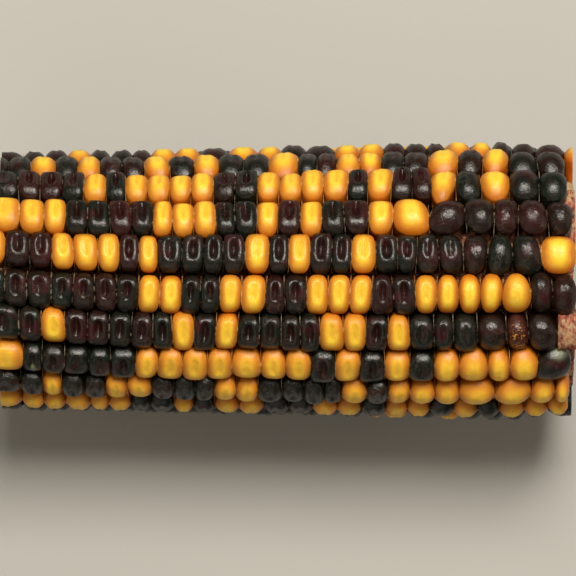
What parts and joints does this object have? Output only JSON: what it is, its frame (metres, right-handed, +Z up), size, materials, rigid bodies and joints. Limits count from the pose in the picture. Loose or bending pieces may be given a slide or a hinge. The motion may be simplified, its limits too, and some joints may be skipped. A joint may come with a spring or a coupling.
{
  "type": "corn cob",
  "caption": "Section of a two-coloured corn ear, sawn flat at both ends, with purple-black and golden kernels in straight rows around its cob; it lies on its side.",
  "frame": {"origin": "the point on the surface that the ear rests on, under the middle of the ear's bounding box", "axes": "+X along the ear towards its butt (the stalk end), +Y across it, +Z up from the surface"},
  "size_m": [0.105, 0.0512, 0.0512],
  "materials": {
    "purple_kernels": "satin",
    "yellow_kernels": "satin",
    "cob_chaff": "matte"
  },
  "bodies": {
    "root": {"cob": "cob_chaff", "kernel_row_01": "purple_kernels", "kernel_row_02": "purple_kernels", "kernel_row_03": "purple_kernels", "kernel_row_04": "purple_kernels", "kernel_row_05": "purple_kernels", "kernel_row_06": "purple_kernels", "kernel_row_07": "purple_kernels", "kernel_row_08": "yellow_kernels", "kernel_row_09": "yellow_kernels", "kernel_row_10": "yellow_kernels", "kernel_row_11": "purple_kernels", "kernel_row_12": "yellow_kernels", "kernel_row_13": "purple_kernels", "kernel_row_14": "purple_kernels", "kernel_row_15": "yellow_kernels", "kernel_row_16": "purple_kernels", "kernel_row_17": "yellow_kernels", "kernel_row_18": "purple_kernels", "kernel_row_19": "purple_kernels", "kernel_row_20": "yellow_kernels"}
  },
  "joints": []
}
